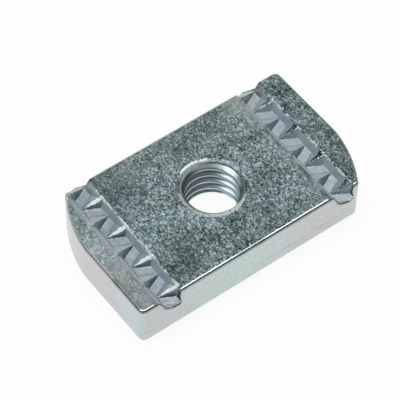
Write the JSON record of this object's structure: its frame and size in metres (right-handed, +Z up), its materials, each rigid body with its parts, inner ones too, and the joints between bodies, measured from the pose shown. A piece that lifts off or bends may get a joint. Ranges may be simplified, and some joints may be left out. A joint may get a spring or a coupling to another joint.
{
  "type": "channel nut",
  "caption": "Flat twist-in channel nut: a short bar with a tapped hole, opposite corners rounded so it turns in the slot, and toothed grooves that bite the channel lips.",
  "frame": {"origin": "axis of the tapped hole at the bottom face, the face without grooves", "axes": "+X along the nut, +Y across it, +Z up out of the toothed face along the hole"},
  "size_m": [0.035, 0.021, 0.006],
  "materials": {
    "zinc": "bright zinc plating over pressed steel, pitted on the top face, satin on the sides"
  },
  "bodies": {
    "root": {"channel_nut": "zinc"}
  },
  "joints": []
}
